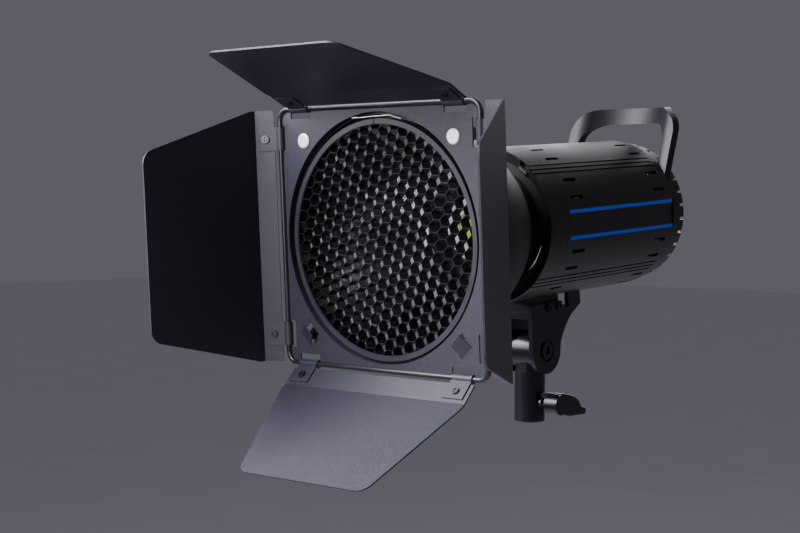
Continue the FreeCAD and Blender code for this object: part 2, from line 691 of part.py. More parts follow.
def light_engine():
    centre = s.dish_back
    pedestal = cone("pedestal", 27, 33, s.seam - centre - 6, (0, centre + 6, 0))
    node("led_pedestal", group("pedestal_in_place", pedestal), LAMP)
    board = box("board", (-18, centre + 4, -18), (36, 1.98, 36))
    node("led_board", group("board_in_place", board), LAMP)
    node("led_phosphor", group("phosphor_in_place",
                               cylinder("phosphor", 14.5, 0.9, (0, centre + 3.08, 0))), LAMP)
    holder = cylinder("holder_disc", 26, 4, (0, centre + 1.9, 0))
    window = cylinder("holder_window", 15, 8, (0, centre - 1, 0))
    seat = box("holder_seat", (-18.1, centre + 3.95, -18.1), (36.2, 4, 36.2))
    drills = [cylinder(f"holder_drill_{x}", 1.7, 8, (x, centre - 1, 0)) for x in (-22, 22)]
    node("led_holder", cut("holder", holder, window, seat, *drills), LAMP)
    facing = Rotation(Vector(0, 0, 1), Vector(0, -1, 0))
    screws = [pan_screw(f"holder_screw_{x}", (x, centre + 1.88, 0), facing, 2.9, 1.4, 1.5, 3.9)
              for x in (-22, 22)]
    node("led_holder_screws", group("holder_screws", *screws), LAMP)


FIN_COUNT = 28


def heat_sink():
    plate = cylinder("sink_plate", 55, 8, (0, s.seam + 0.1, 0))
    core = cylinder("sink_core", 17, 68, (0, s.seam + 4, 0))
    fins = []
    for i in range(FIN_COUNT):
        fin = Part.makeBox(38, 64, 1.6, Vector(15, s.seam.value + 6, -0.8))
        fin.rotate(Vector(), Vector(0, 1, 0), i * 360 / FIN_COUNT)
        fins.append(fin)
    comb = shape("sink_fins", fins[0].multiFuse(fins[1:]))
    node("heat_sink", fuse("sink", plate, core, comb), LAMP)


# ---------------------------------------------------------------- housing

SLOT_ANGLES = (20, 34, 55.5, 70)


def housing_shell():
    inside = s.body_radius - s.body_wall
    section = [(inside, s.seam + 0.15), (s.body_radius, s.seam + 0.15), (s.body_radius, s.body_back),
               (inside, s.body_back)]
    shell = spun("shell", section)
    slots = []
    for start in (s.front_slots.value, s.rear_slots.value):
        for angle in SLOT_ANGLES:
            for quarter in (angle, 180 - angle, 180 + angle, 360 - angle):
                slot = Part.makeBox(s.slot_width.value, s.slot_length.value, 8,
                                    Vector(-s.slot_width.value / 2, start, inside.value - 2))
                corners = [edge for edge in slot.Edges if runs_along(edge, (0, 0, 1))]
                slot = slot.makeFillet(s.slot_width.value * 0.45, corners)
                slot.rotate(Vector(), Vector(0, 1, 0), 90 - quarter)
                slots.append(slot)
    beds = []
    for name, low in (("right", s.trim_bed), ("left", -s.trim_bed - 6)):
        beds.append(box(f"trim_bed_{name}", (low, s.trim_front, -s.stripe_centre - s.stripe_width / 2),
                        (6, s.trim_back - s.trim_front, s.stripe_centre * 2 + s.stripe_width)))
    cuts = [shape("vent_slots", Part.makeCompound(slots))] + beds + body_grooves("shell")
    node("housing_shell", cut("shell_cut", shell, *cuts), LAMP)


def side_trim():
    """On each side a plain panel between two blue strips, all bedded in one shallow recess."""
    thick = s.trim_face - s.trim_bed - 0.05
    length = s.trim_back - s.trim_front - 0.2
    inner = s.stripe_centre - s.stripe_width / 2
    for name, low in (("right", s.trim_bed + 0.03), ("left", -s.trim_bed - 0.03 - thick)):
        panel = box(f"panel_{name}_block", (low, s.trim_front + 0.1, -inner + 0.05),
                    (thick, length, inner * 2 - 0.1))
        node(f"side_panel_{name}", group(f"panel_{name}_in_place", panel), LAMP)
        strips = []
        for place, base in (("upper", inner), ("lower", -inner - s.stripe_width + 0.1)):
            strips.append(box(f"strip_{name}_{place}", (low, s.trim_front + 0.1, base),
                              (thick, length, s.stripe_width - 0.1)))
        node(f"blue_strips_{name}", group(f"strips_{name}", *strips), LAMP)


def rear_cap():
    radius = s.cap_radius
    seat = s.body_radius - s.body_wall - 0.05
    inside = seat - s.cap_wall
    opening = radius - 9
    section = [(inside, s.body_back - 6), (seat, s.body_back - 6), (seat, s.body_back + 0.1),
               (radius, s.body_back + 0.1), (radius, s.cap_back - 3), (radius - 3, s.cap_back),
               (opening, s.cap_back), (opening, s.cap_back - 2.6), (opening - 2.5, s.cap_back - 2.6),
               (opening - 2.5, s.cap_back - 4.6), (inside, s.cap_back - 4.6)]
    cap = spun("cap", section)
    gaps = []
    count = int(s.tooth_count.value)
    for i in range(count):
        gap = Part.makeBox(s.tooth_gap.value, 10, 7,
                           Vector(-s.tooth_gap.value / 2, s.cap_back.value - 9, radius.value - 5))
        gap.rotate(Vector(), Vector(0, 1, 0), (i + 0.5) * 360 / count)
        gaps.append(gap)
    drills = [cylinder(f"cap_drill_{angle}", 1.7, 9, polar(s.cap_radius.value - 7, angle, HANDLE_SCREW_AT),
                       radial(angle))
              for angle in HANDLE_SCREWS]
    node("rear_cap", cut("cap_cut", cap, shape("tooth_gaps", Part.makeCompound(gaps)), *drills), LAMP)


PANEL_BACK = 329.5
DISPLAY = (-17, 14, 34, 16)
KNOB = (-17, -14)
SWITCH = (12, -20)
ROCKER_TILT = 10
INLET = (0, -32)


def control_panel():
    """The disc at the back with vents, display, dimmer, rocker and inlet openings."""
    radius = s.cap_radius - 9.1
    back = PANEL_BACK
    disc = cylinder("panel_disc", radius, 2, (0, back - 2, 0))
    display = box("panel_display", (DISPLAY[0] - 0.1, back - 3, DISPLAY[1] - 0.1),
                  (DISPLAY[2] + 0.2, 4, DISPLAY[3] + 0.2))
    knob = cylinder("panel_knob_hole", 3.1, 4, (KNOB[0], back - 3, KNOB[1]))
    switch = box("panel_switch_hole", (SWITCH[0] - 6.6, back - 3, SWITCH[1] - 9.6), (13.2, 4, 19.2))
    inlet = box("panel_inlet_hole", (INLET[0] - 26, back - 3, INLET[1] - 8), (28, 4, 15.5))
    vents = []
    for i in range(60):
        angle = i * 6
        if 200 < angle < 340:
            continue
        slot = Part.makeBox(1.8, 4, 8, Vector(-0.9, back - 3, radius.value - 11))
        slot.rotate(Vector(), Vector(0, 1, 0), 90 - angle)
        vents.append(slot)
    tools = [display, knob, switch, inlet, shape("panel_vents", Part.makeCompound(vents))]
    node("control_panel", cut("panel", disc, *tools), LAMP)
    window = box("display_glass", (DISPLAY[0], back - 2, DISPLAY[1]), (DISPLAY[2], 1.9, DISPLAY[3]))
    node("display_window", group("display_in_place", window), LAMP)
    grip = cylinder("knob_grip", 8.5, 11, (KNOB[0], back + 0.4, KNOB[1]))
    stem = cylinder("knob_stem", 3, 8, (KNOB[0], back - 7, KNOB[1]))
    flutes = []
    for i in range(24):
        around = i * math.pi / 12
        seat = (KNOB[0] + 8.9 * math.cos(around), back + 1.6, KNOB[1] + 8.9 * math.sin(around))
        flutes.append(cylinder(f"knob_flute_{i}", 0.7, 13, seat))
    pointer = box("knob_pointer", (KNOB[0] - 0.5, back + 10.8, KNOB[1] + 3), (1, 2, 6))
    node("dimmer_knob", cut("knob", fuse("knob_solid", grip, stem), pointer, *flutes), LAMP)
    rocker = slab("rocker", "YZ_Plane", -5.4, 10.8, [(-1, -4), (-1, 4), (4.6, 7), (4.1, 0), (4.6, -7)])
    rocker.Placement = Placement(Vector(SWITCH[0], back - 3, SWITCH[1]),
                                 Rotation(Vector(1, 0, 0), ROCKER_TILT))
    axle = cylinder("rocker_axle", 1, 12.4, (SWITCH[0] - 6.2, back - 3, SWITCH[1]), ALONG_X)
    node("power_rocker", fuse("rocker_with_axle", rocker, axle), LAMP)
    frame = box("switch_frame_block", (SWITCH[0] - 6.5, back - 9, SWITCH[1] - 9.5), (13, 9.8, 19))
    well = box("switch_well", (SWITCH[0] - 5.7, back - 8, SWITCH[1] - 8.7), (11.4, 10, 17.4))
    bearing = cylinder("switch_bearing", s.running_gap + 1, 14, (SWITCH[0] - 7, back - 3, SWITCH[1]), ALONG_X)
    node("switch_frame", cut("switch_shell", frame, well, bearing), LAMP)
    block = box("inlet_block", (INLET[0] - 25.9, back - 14, INLET[1] - 7.9), (27.8, 15, 15.3))
    socket = box("inlet_socket", (INLET[0] - 23.5, back - 11, INLET[1] - 5.5), (23, 13, 10.5))
    pins = [box(f"inlet_pin_{i}", (INLET[0] - 20 + 7 * i, back - 12, INLET[1] - 1 + drop), (2, 9, 3))
            for i, drop in enumerate((0, -2, 0))]
    node("power_inlet", fuse("inlet", cut("inlet_shell", block, socket), *pins), LAMP)


def fan():
    half = s.fan_size / 2
    front, depth = 228, 25
    frame = box("fan_block", (-half, front, -half), (s.fan_size, depth, s.fan_size))
    sweep = cylinder("fan_bore", s.fan_sweep + 1.2, depth + 2, (0, front - 1, 0))
    hub = cylinder("fan_motor", 14, 4, (0, front + depth - 4, 0))
    struts = [box(f"fan_strut_{i}", (0, 0, 0), (40, 2.4, 3)) for i in range(3)]
    for i, strut in enumerate(struts):
        turn = Rotation(Vector(0, 1, 0), 120 * i)
        centre = Vector(0, front + depth - 2.5, 0)
        strut.Placement = Placement(centre + turn.multVec(Vector(0, 0, -1.5)), turn)
    axle = cylinder("fan_axle", 1.5, 16, (0, front + 6, 0))
    node("fan_frame", fuse("fan_fixed", cut("fan_square", frame, sweep), hub, axle, *struts), LAMP)
    turning = cylinder("fan_hub_outer", s.fan_hub, 17, (0, front + 2, 0))
    hollow = cylinder("fan_hub_hollow", 1.5 + s.running_gap, 20, (0, front + 5, 0))
    blades = []
    for i in range(7):
        blade = Part.makeBox(s.fan_sweep.value - 15, 15, 1.4, Vector(15, front + 3, -0.7))
        blade.rotate(Vector(0, front + 10, 0), Vector(1, 0, 0), 32)
        blade.rotate(Vector(), Vector(0, 1, 0), i * 360 / 7)
        blades.append(blade)
    sweep_disc = Part.makeCylinder(s.fan_sweep.value, 17, Vector(0, front + 2, 0), Vector(0, 1, 0))
    vanes = shape("fan_vanes", blades[0].multiFuse(blades[1:]).common(sweep_disc))
    node("fan_rotor", cut("fan_turning", fuse("fan_rotor_solid", turning, vanes), hollow), LAMP)


def electronics():
    """The driver board with its larger components, and the control board behind the panel."""
    board = box("driver_pcb", (-46, 258, -22), (92, 40, 1.6))
    transformer = box("transformer", (-40, 262, -20.6), (28, 30, 24))
    choke = cylinder("choke", 9, 14, (2, 278, -20.6), ALONG_Z)
    caps = [cylinder(f"capacitor_{i}", 6, 22, (20 + 14 * i, 268 + 7 * i, -20.6), ALONG_Z) for i in range(2)]
    node("driver_board", fuse("driver", board, transformer, choke, *caps), LAMP)
    control = box("control_pcb", (-24, 318, 6), (48, 1.6, 30))
    chip = box("control_chip", (-6, 319.4, 14), (12, 1.6, 12))
    node("control_board", fuse("control", control, chip), LAMP)


# ---------------------------------------------------------------- handle

HANDLE_SCREWS = (35.5, 144.5)
HANDLE_SCREW_AT = 313.5


def handle():
    """A rear bail: two flat legs that lean back, and a top bar bowed to the rear seen from above."""
    half, inner = s.handle_half, s.handle_inner_half
    top, under = s.handle_top, s.handle_under
    bend, inner_bend = s.handle_corner, s.handle_inner_corner
    foot = 20
    arch = [(-half, foot), (-inner, foot), (-inner, under - inner_bend, -inner_bend),
            (-inner + inner_bend, under), (inner - inner_bend, under, -inner_bend),
            (inner, under - inner_bend), (inner, foot), (half, foot),
            (half, top - bend, bend), (half - bend, top), (-half + bend, top, bend), (-half, top - bend)]
    front_view = slab("handle_arch", "XZ_Plane", 280, 140, arch)
    wide, span, bow, bend_radius = half + 0.4, s.handle_bow_half, s.handle_bow, s.handle_bend
    ratio = bow / span
    sine, rise = ratio * 2 / (ratio * ratio + 1), ratio * ratio * 2 / (ratio * ratio + 1)
    bow_radius = span / sine - bend_radius
    turn_at, turn_up = span - bend_radius * sine, bend_radius * rise
    front, back = s.handle_foot, s.handle_foot + s.handle_depth
    band = slab("handle_band", "XY_Plane", 0, 110,
                [(-wide, front), (-span, front, bend_radius), (-turn_at, front + turn_up, -bow_radius),
                 (turn_at, front + turn_up, bend_radius), (span, front), (wide, front),
                 (wide, back), (span, back, -bend_radius), (turn_at, back + turn_up, bow_radius),
                 (-turn_at, back + turn_up, -bend_radius), (-span, back), (-wide, back)])
    doc.recompute()
    lean = Vector(0, math.tan(math.radians(s.handle_lean.value)), 1) * 110
    base_face = next(f for f in band.Shape.Faces if abs(f.CenterOfMass.z) < 1e-6)
    top_view = shape("handle_lean_band", base_face.extrude(lean))
    body = cylinder("handle_body_cut", s.body_radius + 0.1, 60, (0, s.body_back - 60, 0))
    rear = cylinder("handle_cap_cut", s.cap_radius + 0.03, 60, (0, s.body_back - 1, 0))
    drills = [cylinder(f"handle_drill_{angle}", 1.5, 4.8,
                       polar(s.cap_radius.value - 1, angle, HANDLE_SCREW_AT), radial(angle))
              for angle in HANDLE_SCREWS]
    bail = cut("handle_cut", common("handle_solid", front_view, top_view), body, rear, *drills)
    node("handle", bail, LAMP)
    screws = []
    for angle in HANDLE_SCREWS:
        inward = Rotation(Vector(0, 0, 1), -polar(1, angle))
        seat = polar(s.cap_radius.value - 3.7, angle, HANDLE_SCREW_AT)
        screws.append(pan_screw(f"handle_screw_{angle}", seat, inward, 3, 1.6, 1.45, 7.2))
    node("handle_screws", group("handle_screw_pair", *screws), LAMP)


# ---------------------------------------------------------------- yoke and receiver

def yoke_bracket():
    """Two ears on one web, with a rear leg on each ear that reaches the housing."""
    back, down, ear = s.pivot_back, -s.pivot_drop, s.ear_radius
    front_edge = back - ear
    rise = 6
    profile = [(front_edge, down), (front_edge, -66), (back + 23, -66), (back + 24, -69), (back + 32, -72.5),
               (back + 32, -56), (back + 48.6, -56), (back + 49.6, -70.5), (back + 37, -78, 60),
               (back + ear + 1.2, down + rise), (back + ear, down, -ear)]
    ears = []
    for name, start in (("near", s.ear_inside), ("far", -s.ear_inside - s.ear_thickness)):
        ears.append(slab(f"ear_{name}", "YZ_Plane", start, s.ear_thickness, profile))
    web = box("web", (-s.ear_inside - 1, front_edge, -77.5), (s.ear_inside * 2 + 2, 51, 4.6))
    body = cylinder("yoke_body_cut", s.body_radius + 0.1, 200, (0, s.seam, 0))
    bore = cylinder("yoke_bore", s.pivot_pin + s.running_gap, 60, (-30, back, down), ALONG_X)
    outer = s.ear_inside + s.ear_thickness
    recess = cylinder("yoke_recess", 9.4, 6, (outer - 1.6, back, down), ALONG_X)
    drills = []
    for i, y in enumerate((back + 4, back + 18)):
        drills.append(cylinder(f"yoke_drill_{i}", 2.1, 60, (-30, y, -70), ALONG_X))
    node("yoke_bracket", cut("yoke", fuse("yoke_solid", web, *ears), body, bore, recess, *drills), LAMP)
    saddle = box("saddle", (-s.ear_inside + 0.1, back - 17, -72.8), (s.ear_inside * 2 - 0.2, 40, 14))
    hollow = cylinder("saddle_hollow", s.body_radius + 0.02, 200, (0, s.seam, 0))
    bores = [cylinder(f"saddle_bore_{i}", 2, 60, (-30, y, -70), ALONG_X)
             for i, y in enumerate((back + 4, back + 18))]
    node("saddle_block", cut("saddle_cut", saddle, hollow, *bores), LAMP)
    screws = []
    for i, y in enumerate((back + 4, back + 18)):
        for side, facing in (("near", 1), ("far", -1)):
            rotation = Rotation(Vector(0, 0, 1), Vector(facing, 0, 0))
            seat = ((outer + 0.02) * facing, y, -70)
            screws.append(pan_screw(f"bracket_screw_{side}_{i}", seat, rotation, 3.4, 1.8, 1.95, 14))
    node("bracket_screws", group("bracket_screw_set", *screws), LAMP)


def pivot_hardware():
    """The bolt through both ears and the knuckle, its lever nut on the far side, and the washers."""
    outer = (s.ear_inside + s.ear_thickness).value
    height = s.pivot_height
    shank = cylinder("pivot_shank", s.pivot_pin, outer * 2 + 12, (-outer - 12, 0, height), ALONG_X)
    head = cylinder("pivot_head", 7, 2.4, (outer - 1.5, 0, height), ALONG_X)
    hexagon = Part.makePolygon([Vector(0, 3.4 * math.cos(a * math.pi / 3), 3.4 * math.sin(a * math.pi / 3))
                                for a in range(7)])
    key = shape("pivot_key", Part.Face(hexagon).extrude(Vector(4, 0, 0)))
    move_to(key, (outer - 0.7, 0, height))
    node("pivot_bolt", cut("pivot", fuse("pivot_solid", shank, head), key), ROW)
    washers = []
    for name, start in (("near", s.knuckle_half + 0.04), ("far", -s.knuckle_half - 0.6)):
        disc = cylinder(f"washer_{name}_disc", 14, 0.56, (start, 0, height), ALONG_X)
        hole = cylinder(f"washer_{name}_hole", s.pivot_pin + 0.3, 4, (start - 1, 0, height), ALONG_X)
        washers.append(cut(f"washer_{name}", disc, hole))
    node("friction_washers", group("washers", *washers), ROW)
    hub = cylinder("tilt_hub", 9.5, 13, (-outer - 13.3, 0, height), ALONG_X)
    arm = spun("tilt_arm", [(0, 0), (4.6, 0), (5, 42, 5), (0, 47)])
    arm.Placement = Placement(Vector(-outer - 7.5, 0, height.value),
                              Rotation(Vector(0, 1, 0), Vector(-0.28, 0.78, 0.52)))
    bore = cylinder("tilt_bore", s.pivot_pin + s.running_gap, 20, (-outer - 12.3, 0, height), ALONG_X)
    node("tilt_lock_lever", cut("tilt_lever", fuse("tilt_lever_solid", hub, arm), bore), ROW)


def receiver():
    """The upright tube that takes a stand's spigot, with the knuckle between the yoke's ears on top."""
    height, top = s.pivot_height, s.receiver_top
    post = cylinder("post", s.receiver_radius, top, (0, 0, 0), ALONG_Z)
    edge = cone("post_edge", s.receiver_radius - 1, s.receiver_radius, 1, (0, 0, 0), ALONG_Z)
    lower = cylinder("post_lower_cut", s.receiver_radius + 2, 1, (0, 0, 0), ALONG_Z)
    body = fuse("post_with_edge", cut("post_trimmed", post, lower), edge)
    barrel = cylinder("barrel", s.knuckle_radius, s.knuckle_half * 2, (-s.knuckle_half, 0, height), ALONG_X)
    neck = box("neck_block", (-s.receiver_radius - 1, -s.receiver_radius + 1, top - 8),
               (s.receiver_radius * 2 + 2, s.receiver_radius * 2 - 2, height - top + 8))
    rounder = cylinder("neck_rounder", s.receiver_radius - 0.2, 60, (0, 0, 20), ALONG_Z)
    screw_at = s.lock_screw_height
    boss = cylinder("lock_boss", 5.2, 5, (s.receiver_radius - 3, 0, screw_at), ALONG_X)
    solid = fuse("receiver_solid", body, barrel, common("neck_rounded", neck, rounder), boss)
    bore = cylinder("spigot_hole", s.spigot_bore, s.spigot_depth, (0, 0, 0), ALONG_Z)
    pin = cylinder("receiver_pivot_hole", s.pivot_pin + s.running_gap, 60, (-30, 0, height), ALONG_X)
    thread = cylinder("lock_hole", 2.4 + s.running_gap, 20, (s.spigot_bore - 3, 0, screw_at), ALONG_X)
    node("receiver", cut("receiver_cut", solid, bore, pin, thread), ROW)


def wing_lever():
    """The clamp screw of the spigot bore and the moulded lever on its end."""
    at = s.lock_screw_height
    shank = cylinder("lock_shank", 2.4, 16, (s.spigot_bore + 0.4, 0, at), ALONG_X)
    shoulder = cylinder("lock_shoulder", 3.4, 3, (16.6, 0, at), ALONG_X)
    node("lock_screw", fuse("lock_screw_solid", shank, shoulder), ROW)
    hub = cylinder("wing_hub", 8.2, 12, (19.8, 0, at), ALONG_X)
    blade = slab("wing_blade", "YZ_Plane", 21.5, 8.5,
                 [(-6, at + 9.6), (8, at + 9), (21, at + 5.6), (28, at + 2), (32, at - 4),
                  (37, at - 5.4, -3.6), (37, at - 11.4), (14, at - 11), (4, at - 8.2), (-4, at - 7)])
    lip = slab("wing_lip", "YZ_Plane", 16.2, 6,
               [(-6, at + 9.6), (-6, at + 5.6), (7, at + 5.6), (7, at + 9)])
    soften(blade, "Fillet", 1.6, lambda edge: abs(edge.CenterOfMass.x - 30) < 0.01)
    hole = cylinder("wing_hole", 2.42, 6, (19, 0, at), ALONG_X)
    node("wing_lever", cut("wing", fuse("wing_solid", hub, blade, lip), hole), ROW)


# ---------------------------------------------------------------- assembly

def build_all():
    barn_door_plate()
    hinge_rod()
    for side in LEAVES:
        leaf(side)
        leaf_clips(side)
    gel_magnets()
    clamp_collar()
    for name in CLAMP_ANGLES:
        clamp_screw(name)
    grid_ring()
    honeycomb_core()
    grid_spring()
    reflector_dish()
    bayonet_ring()
    front_ring()
    lock_slider()
    light_engine()
    heat_sink()
    housing_shell()
    side_trim()
    rear_cap()
    control_panel()
    fan()
    electronics()
    handle()
    yoke_bracket()
    pivot_hardware()
    receiver()
    wing_lever()


build_all()
doc.recompute()
for thing, frame in SUBPARTS.values():
    thing.Placement = frame.multiply(thing.Placement) if thing.TypeId == "PartDesign::Body" else frame
doc.recompute()

for item in doc.Objects:
    if "Invalid" in item.State or "Error" in item.State:
        raise RuntimeError(f"{item.Name} ({item.Label}) failed: {item.State}")

os.makedirs("parts", exist_ok=True)
for name, (thing, _) in SUBPARTS.items():
    if thing.Shape.isNull() or not thing.Shape.isValid():
        raise RuntimeError(f"{name} has no valid shape")
    thing.Shape.exportStep(f"parts/{name}.step")
    print(f"{name}: {len(thing.Shape.Solids)} solids, {thing.Shape.Volume:.0f} mm3")
print(len(SUBPARTS), "sub-parts")
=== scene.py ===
import json
import math

import bmesh
import bpy
from mathutils import Matrix, Vector


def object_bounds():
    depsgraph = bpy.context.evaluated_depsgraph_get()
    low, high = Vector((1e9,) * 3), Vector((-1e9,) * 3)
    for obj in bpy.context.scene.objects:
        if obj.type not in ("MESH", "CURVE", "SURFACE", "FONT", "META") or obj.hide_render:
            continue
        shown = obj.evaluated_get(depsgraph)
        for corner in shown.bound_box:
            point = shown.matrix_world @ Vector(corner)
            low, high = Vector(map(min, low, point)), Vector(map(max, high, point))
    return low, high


# LED studio spotlight. Metres, in the part's frame: origin at the mouth of the receiver's spigot
# bore, +Z up. The light faces -Y and is tilted nose-down.

NOSE_DOWN = math.radians(3.4)
PIVOT_HEIGHT, PIVOT_BACK, PIVOT_DROP = 0.0592, 0.1803, 0.1046

# The dish's inside is coloured black and dull from its mouth back to this depth, as painted shade
# in the gap behind the grid ring, and is bare bright metal behind it.
SHADED_LIP_DEPTH = 0.0156
SHADED_LIP_BLEND = 0.0004
INWARD_BLEND = 0.002

# Bump heights.
FINE_GRAIN = 0.00008
POWDER_GRAIN = 0.00016
DIMPLES = 0.0008
WAVES = 0.0002

POWDER_TIP_GAIN = 2.4
BRUSH_STRETCH = (40, 900, 40)
BRUSH_STRENGTH = 0.1

BEVEL_WIDTH = 0.00025
BEVEL_SEGMENTS = 2
BEVEL_ANGLE = math.radians(34)

FLOOR_DROP = 1.8
FLOOR_GRID_SIZE = 30
FLOOR_DARK, FLOOR_LIGHT = (0.88, 0.87, 0.90), (0.91, 0.90, 0.93)

EYE = (0.7518, -1.02709, 0.18146)
AZIMUTH, PITCH, ROLL = (math.radians(a) for a in (41.023, -2.4655, 0.177))
SENSOR_MM, LENS_MM = 36, 69.74
CLIP_START = 0.01

SKY_COLOUR, SKY_STRENGTH = (0.40, 0.385, 0.455, 1), 0.29
AT_PLATE, AT_BODY = (0, -0.186, 0.152), (0, 0, 0.2)
COOL = (0.95, 0.94, 1.0)
# name, place, target, size, power, colour
LIGHTS = (
    ("key", (-0.85, -1.15, 1.30), AT_PLATE, (0.9, 0.9), 74, COOL),
    ("front", (-0.20, -1.60, 0.90), AT_PLATE, (0.5, 0.5), 38, COOL),
    ("axis", (0.05, -1.90, 0.22), AT_PLATE, (0.35, 0.35), 12, COOL),
    ("side", (-1.20, -1.15, 0.60), AT_PLATE, (0.5, 0.7), 18, (0.94, 0.92, 1.0)),
    ("top", (-0.6, 1.25, 0.75), AT_BODY, (1.2, 0.5), 6, (0.96, 0.96, 1.0)),
)

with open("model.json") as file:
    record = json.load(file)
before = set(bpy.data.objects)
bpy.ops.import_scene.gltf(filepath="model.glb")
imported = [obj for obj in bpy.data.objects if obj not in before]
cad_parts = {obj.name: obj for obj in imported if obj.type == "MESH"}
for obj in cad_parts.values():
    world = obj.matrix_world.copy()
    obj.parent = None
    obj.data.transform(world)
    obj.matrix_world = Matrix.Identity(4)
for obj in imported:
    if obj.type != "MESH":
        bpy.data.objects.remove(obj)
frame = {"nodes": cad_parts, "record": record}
NODES = frame["nodes"]
CAD_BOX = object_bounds()


def lamp_matrix():
    """Lamp frame (origin at the plate's centre, +Y back along the lamp's axis) to part frame."""
    tilt = Matrix.Translation((0, 0, PIVOT_HEIGHT)) @ Matrix.Rotation(NOSE_DOWN, 4, "X")
    return tilt @ Matrix.Translation((0, -PIVOT_BACK, PIVOT_DROP))


LAMP = lamp_matrix()
LAMP_CENTRE = tuple(LAMP.translation)
LAMP_BACK = tuple(LAMP.to_3x3() @ Vector((0, 1, 0)))
LAMP_AHEAD = tuple(LAMP.to_3x3() @ Vector((0, -1, 0)))


# ---------------------------------------------------------------- materials

# Sockets of a Mix node that mixes colours.
MIX_FACTOR, MIX_FIRST, MIX_SECOND, MIX_RESULT = 0, 6, 7, 2


def scaled(colour, factor):
    return tuple(c * factor for c in colour)


class Shader:
    """A Principled material with object-space procedural detail."""

    def __init__(self, name, colour, rough, metallic=0.0, specular=0.5):
        self.material = bpy.data.materials.new(name)
        self.material.use_nodes = True
        self.material.diffuse_color = (*colour, 1)
        tree = self.material.node_tree
        self.nodes, self.links = tree.nodes, tree.links
        self.shader = self.nodes["Principled BSDF"]
        self.shader.inputs["Base Color"].default_value = (*colour, 1)
        self.shader.inputs["Roughness"].default_value = rough
        self.shader.inputs["Metallic"].default_value = metallic
        self.shader.inputs["Specular IOR Level"].default_value = specular
        coords = self.nodes.new("ShaderNodeTexCoord")
        self.where = coords.outputs["Object"]
        self.facing = coords.outputs["Normal"]

    def feed(self, socket, value):
        """Sets a socket to a plain colour or vector, or links it to another socket."""
        if not isinstance(value, tuple):
            self.links.new(value, socket)
        elif socket.type == "RGBA":
            socket.default_value = (*value, 1)
        else:
            socket.default_value = value

    def noise(self, scale, detail=3.0, rough=0.55, vector=None):
        made = self.nodes.new("ShaderNodeTexNoise")
        made.inputs["Scale"].default_value = scale
        made.inputs["Detail"].default_value = detail
        made.inputs["Roughness"].default_value = rough
        self.feed(made.inputs["Vector"], vector or self.where)
        return made.outputs["Fac"]

    def cells(self, scale, feature):
        made = self.nodes.new("ShaderNodeTexVoronoi")
        made.feature = feature
        made.inputs["Scale"].default_value = scale
        self.feed(made.inputs["Vector"], self.where)
        return made.outputs["Distance"]

    def stretched(self, scale):
        made = self.nodes.new("ShaderNodeMapping")
        made.inputs["Scale"].default_value = scale
        self.feed(made.inputs["Vector"], self.where)
        return made.outputs["Vector"]

    def spread(self, value, low, high, start=0.3, end=0.7):
        """Maps start..end to low..high."""
        made = self.nodes.new("ShaderNodeMapRange")
        made.inputs["From Min"].default_value = start
        made.inputs["From Max"].default_value = end
        made.inputs["To Min"].default_value = low
        made.inputs["To Max"].default_value = high
        self.feed(made.inputs["Value"], value)
        return made.outputs["Result"]

    def mix(self, factor, first, second):
        made = self.nodes.new("ShaderNodeMix")
        made.data_type = "RGBA"
        self.feed(made.inputs[MIX_FACTOR], factor)
        self.feed(made.inputs[MIX_FIRST], first)
        self.feed(made.inputs[MIX_SECOND], second)
        return made.outputs[MIX_RESULT]

    def times(self, first, second):
        made = self.nodes.new("ShaderNodeMath")
        made.operation = "MULTIPLY"
        self.feed(made.inputs[0], first)
        self.feed(made.inputs[1], second)
        return made.outputs[0]

    def vectors(self, operation, first, second):
        made = self.nodes.new("ShaderNodeVectorMath")
        made.operation = operation
        self.feed(made.inputs[0], first)
        self.feed(made.inputs[1], second)
        return made.outputs["Value" if operation == "DOT_PRODUCT" else "Vector"]

    def colour(self, value):
        self.feed(self.shader.inputs["Base Color"], value)

    def rough(self, value):
        self.feed(self.shader.inputs["Roughness"], value)

    def metallic(self, value):
        self.feed(self.shader.inputs["Metallic"], value)

    def bump(self, height, strength, distance):
        made = self.nodes.new("ShaderNodeBump")
        made.inputs["Strength"].default_value = strength
        made.inputs["Distance"].default_value = distance
        self.feed(made.inputs["Height"], height)
        self.feed(self.shader.inputs["Normal"], made.outputs["Normal"])

    def coat(self, weight, rough):
        self.shader.inputs["Coat Weight"].default_value = weight
        self.shader.inputs["Coat Roughness"].default_value = rough


def powder_coat(name, dark, light, rough):
    """Sandy powder coat: grain in the height, with paler tips and slow variation."""
    made = Shader(name, dark, rough)
    grain = made.noise(1500, 2.0, 0.7)
    slow = made.noise(28, 3.0)
    tips = made.mix(made.spread(grain, 0, 0.7, 0.45, 0.70), dark, scaled(light, POWDER_TIP_GAIN))
    made.colour(made.mix(made.spread(slow, 0, 0.5), tips, light))
    made.rough(made.spread(grain, rough - 0.12, rough + 0.20))
    made.bump(grain, 1.0, POWDER_GRAIN)
    return made.material


def moulded(name, dark, light, rough, grain=2600, height=0.28, specular=0.5):
    """Moulded plastic with a fine spark-eroded grain, a little polished in places by handling."""
    made = Shader(name, dark, rough, specular=specular)
    fine = made.noise(grain, 2.0, 0.5)
    slow = made.noise(22, 4.0)
    made.colour(made.mix(made.spread(slow, 0, 1), dark, light))
    made.rough(made.spread(slow, rough - 0.05, rough + 0.06))
    made.bump(fine, height, FINE_GRAIN)
    return made.material


def glossy(name, colour, rough, coat):
    """Smooth lacquer or film, very slightly uneven."""
    made = Shader(name, colour, rough)
    slow = made.noise(90, 3.0)
    made.rough(made.spread(slow, rough - 0.03, rough + 0.08))
    made.bump(made.noise(160, 1.0), 0.05, WAVES)
    made.coat(coat, 0.08)
    return made.material


